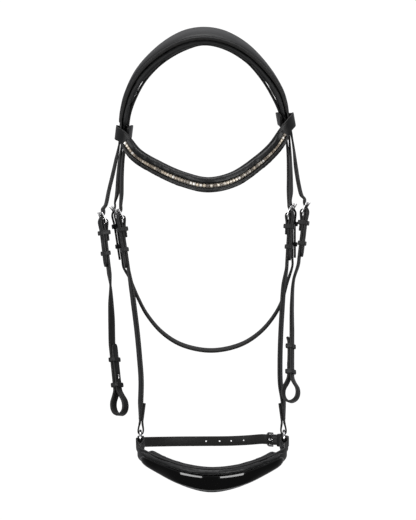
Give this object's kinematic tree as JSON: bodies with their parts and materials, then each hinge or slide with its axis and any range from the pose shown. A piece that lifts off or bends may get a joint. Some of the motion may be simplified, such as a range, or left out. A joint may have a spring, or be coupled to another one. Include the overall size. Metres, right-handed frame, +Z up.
{
  "type": "snaffle bridle",
  "caption": "Snaffle bridle with padded crown, crystal browband, hook-stud cheekpieces, throatlatch and padded patent noseband, ready for a loose-ring bit",
  "frame": {"origin": "The middle of the crown's underside, where a hook or a hand holds the bridle.", "axes": "+Z up, the browband and noseband face -Y, +X is the horse's left (near) side."},
  "size_m": [0.2665, 0.1864, 0.5737],
  "materials": {
    "bridle_leather": "dyed and waxed black bridle leather with a soft sheen",
    "padded_leather": "soft black lining leather over foam",
    "patent_leather": "high-gloss black patent leather",
    "steel": "polished stainless steel",
    "crystal": "foil-backed cut crystals in a bright metal channel"
  },
  "bodies": {
    "headstall": {"headpiece": "bridle_leather", "headpiece_pad": "padded_leather", "noseband_headstrap": "bridle_leather", "cheekpiece_off": "bridle_leather", "cheekpiece_near": "bridle_leather", "noseband_cheek_off": "bridle_leather", "noseband_cheek_near": "bridle_leather", "throatlatch": "bridle_leather", "cheek_off_fixed_keeper": "bridle_leather", "cheek_near_fixed_keeper": "bridle_leather", "throat_off_fixed_keeper": "bridle_leather", "throat_near_fixed_keeper": "bridle_leather", "nose_off_fixed_keeper": "bridle_leather", "nose_near_fixed_keeper": "bridle_leather", "bit_off_lower_keeper": "bridle_leather", "bit_off_hook_stud": "steel", "bit_near_lower_keeper": "bridle_leather", "bit_near_hook_stud": "steel"},
    "browband": {"browband": "bridle_leather", "browband_upper_roll": "padded_leather", "browband_lower_roll": "padded_leather", "browband_crystals": "crystal"},
    "noseband_front": {"noseband_backing": "bridle_leather", "noseband_padding": "padded_leather", "noseband_roll": "padded_leather", "noseband_patent": "patent_leather"},
    "chin": {"chin_strap": "bridle_leather", "chin_chape": "bridle_leather", "chin_keeper": "bridle_leather"},
    "ring_off": {"noseband_ring_off": "steel"},
    "ring_near": {"noseband_ring_near": "steel"},
    "cheek_off_frame": {"cheek_off_buckle_frame": "steel"},
    "cheek_off_tongue": {"cheek_off_buckle_tongue": "steel"},
    "cheek_off_runner": {"cheek_off_runner_keeper": "bridle_leather"},
    "cheek_near_frame": {"cheek_near_buckle_frame": "steel"},
    "cheek_near_tongue": {"cheek_near_buckle_tongue": "steel"},
    "cheek_near_runner": {"cheek_near_runner_keeper": "bridle_leather"},
    "throat_off_frame": {"throat_off_buckle_frame": "steel"},
    "throat_off_tongue": {"throat_off_buckle_tongue": "steel"},
    "throat_off_runner": {"throat_off_runner_keeper": "bridle_leather"},
    "throat_near_frame": {"throat_near_buckle_frame": "steel"},
    "throat_near_tongue": {"throat_near_buckle_tongue": "steel"},
    "throat_near_runner": {"throat_near_runner_keeper": "bridle_leather"},
    "nose_off_frame": {"nose_off_buckle_frame": "steel"},
    "nose_off_tongue": {"nose_off_buckle_tongue": "steel"},
    "nose_off_runner": {"nose_off_runner_keeper": "bridle_leather"},
    "nose_near_frame": {"nose_near_buckle_frame": "steel"},
    "nose_near_tongue": {"nose_near_buckle_tongue": "steel"},
    "nose_near_runner": {"nose_near_runner_keeper": "bridle_leather"},
    "chin_frame": {"chin_buckle_frame": "steel"},
    "chin_tongue": {"chin_buckle_tongue": "steel"},
    "bit_off_runner": {"bit_off_upper_keeper": "bridle_leather"},
    "bit_near_runner": {"bit_near_upper_keeper": "bridle_leather"}
  },
  "joints": [
    {"name": "browband_slide", "type": "slide", "parent": "headstall", "child": "browband", "axis": [0, 0, 1], "range_m": [-0.002, 0.002]},
    {"name": "noseband_swing", "type": "hinge", "parent": "headstall", "child": "noseband_front", "pos_m": [0, 0, -0.4919], "axis": [1, 0, 0], "range_deg": [-30, 25]},
    {"name": "chin_swing", "type": "hinge", "parent": "headstall", "child": "chin", "pos_m": [0, 0, -0.4919], "axis": [1, 0, 0], "range_deg": [-25, 20]},
    {"name": "ring_off_turn", "type": "hinge", "parent": "headstall", "child": "ring_off", "pos_m": [-0.0794, 0, -0.4919], "axis": [1, 0, 0], "continuous": true},
    {"name": "ring_near_turn", "type": "hinge", "parent": "headstall", "child": "ring_near", "pos_m": [0.0998, 0, -0.4919], "axis": [1, 0, 0], "continuous": true},
    {"name": "cheek_off_frame_tilt", "type": "hinge", "parent": "headstall", "child": "cheek_off_frame", "pos_m": [-0.124, -0.012, -0.2219], "axis": [0.3399, -0.9396, 0.0408], "range_deg": [0, 12]},
    {"name": "cheek_off_tongue_lift", "type": "hinge", "parent": "cheek_off_frame", "child": "cheek_off_tongue", "pos_m": [-0.124, -0.012, -0.2219], "axis": [0.3399, -0.9396, 0.0408], "range_deg": [0, 60]},
    {"name": "cheek_off_runner_slide", "type": "slide", "parent": "headstall", "child": "cheek_off_runner", "axis": [-0.1191, 0, 0.9929], "range_m": [-0.008, 0.008]},
    {"name": "cheek_near_frame_tilt", "type": "hinge", "parent": "headstall", "child": "cheek_near_frame", "pos_m": [0.1236, -0.012, -0.2094], "axis": [0.1999, 0.9795, -0.024], "range_deg": [0, 12]},
    {"name": "cheek_near_tongue_lift", "type": "hinge", "parent": "cheek_near_frame", "child": "cheek_near_tongue", "pos_m": [0.1236, -0.012, -0.2094], "axis": [0.1999, 0.9795, -0.024], "range_deg": [0, 60]},
    {"name": "cheek_near_runner_slide", "type": "slide", "parent": "headstall", "child": "cheek_near_runner", "axis": [0.1191, 0, 0.9929], "range_m": [-0.008, 0.008]},
    {"name": "throat_off_frame_tilt", "type": "hinge", "parent": "headstall", "child": "throat_off_frame", "pos_m": [-0.11, 0.0165, -0.2132], "axis": [0.0499, -0.9987, 0.0078], "range_deg": [0, 12]},
    {"name": "throat_off_tongue_lift", "type": "hinge", "parent": "throat_off_frame", "child": "throat_off_tongue", "pos_m": [-0.11, 0.0165, -0.2132], "axis": [0.0499, -0.9987, 0.0078], "range_deg": [0, 60]},
    {"name": "throat_off_runner_slide", "type": "slide", "parent": "headstall", "child": "throat_off_runner", "axis": [-0.1546, 0, 0.988], "range_m": [-0.008, 0.008]},
    {"name": "throat_near_frame_tilt", "type": "hinge", "parent": "headstall", "child": "throat_near_frame", "pos_m": [0.1096, 0.0165, -0.2107], "axis": [0.03, 0.9996, 0], "range_deg": [0, 12]},
    {"name": "throat_near_tongue_lift", "type": "hinge", "parent": "throat_near_frame", "child": "throat_near_tongue", "pos_m": [0.1096, 0.0165, -0.2107], "axis": [0.03, 0.9996, 0], "range_deg": [0, 60]},
    {"name": "throat_near_runner_slide", "type": "slide", "parent": "headstall", "child": "throat_near_runner", "axis": [0, 0, 1], "range_m": [-0.008, 0.008]},
    {"name": "nose_off_frame_tilt", "type": "hinge", "parent": "headstall", "child": "nose_off_frame", "pos_m": [-0.102, -0.004, -0.2175], "axis": [0.1999, -0.9794, 0.0294], "range_deg": [0, 12]},
    {"name": "nose_off_tongue_lift", "type": "hinge", "parent": "nose_off_frame", "child": "nose_off_tongue", "pos_m": [-0.102, -0.004, -0.2175], "axis": [0.1999, -0.9794, 0.0294], "range_deg": [0, 60]},
    {"name": "nose_off_runner_slide", "type": "slide", "parent": "headstall", "child": "nose_off_runner", "axis": [-0.1455, 0, 0.9894], "range_m": [-0.008, 0.008]},
    {"name": "nose_near_frame_tilt", "type": "hinge", "parent": "headstall", "child": "nose_near_frame", "pos_m": [0.1054, -0.004, -0.2138], "axis": [0.1999, 0.9797, -0.0117], "range_deg": [0, 12]},
    {"name": "nose_near_tongue_lift", "type": "hinge", "parent": "nose_near_frame", "child": "nose_near_tongue", "pos_m": [0.1054, -0.004, -0.2138], "axis": [0.1999, 0.9797, -0.0117], "range_deg": [0, 60]},
    {"name": "nose_near_runner_slide", "type": "slide", "parent": "headstall", "child": "nose_near_runner", "axis": [0.0585, 0, 0.9983], "range_m": [-0.008, 0.008]},
    {"name": "chin_frame_tilt", "type": "hinge", "parent": "chin", "child": "chin_frame", "pos_m": [0.0875, 0.056, -0.499], "axis": [0, 0, -1], "range_deg": [0, 12]},
    {"name": "chin_tongue_lift", "type": "hinge", "parent": "chin_frame", "child": "chin_tongue", "pos_m": [0.0875, 0.056, -0.499], "axis": [0, 0, -1], "range_deg": [0, 60]},
    {"name": "bit_off_runner_slide", "type": "slide", "parent": "headstall", "child": "bit_off_runner", "axis": [-0.1093, 0.1988, 0.9739], "range_m": [-0.006, 0.005]},
    {"name": "bit_near_runner_slide", "type": "slide", "parent": "headstall", "child": "bit_near_runner", "axis": [0.0101, 0.2026, 0.9792], "range_m": [-0.006, 0.003]}
  ]
}
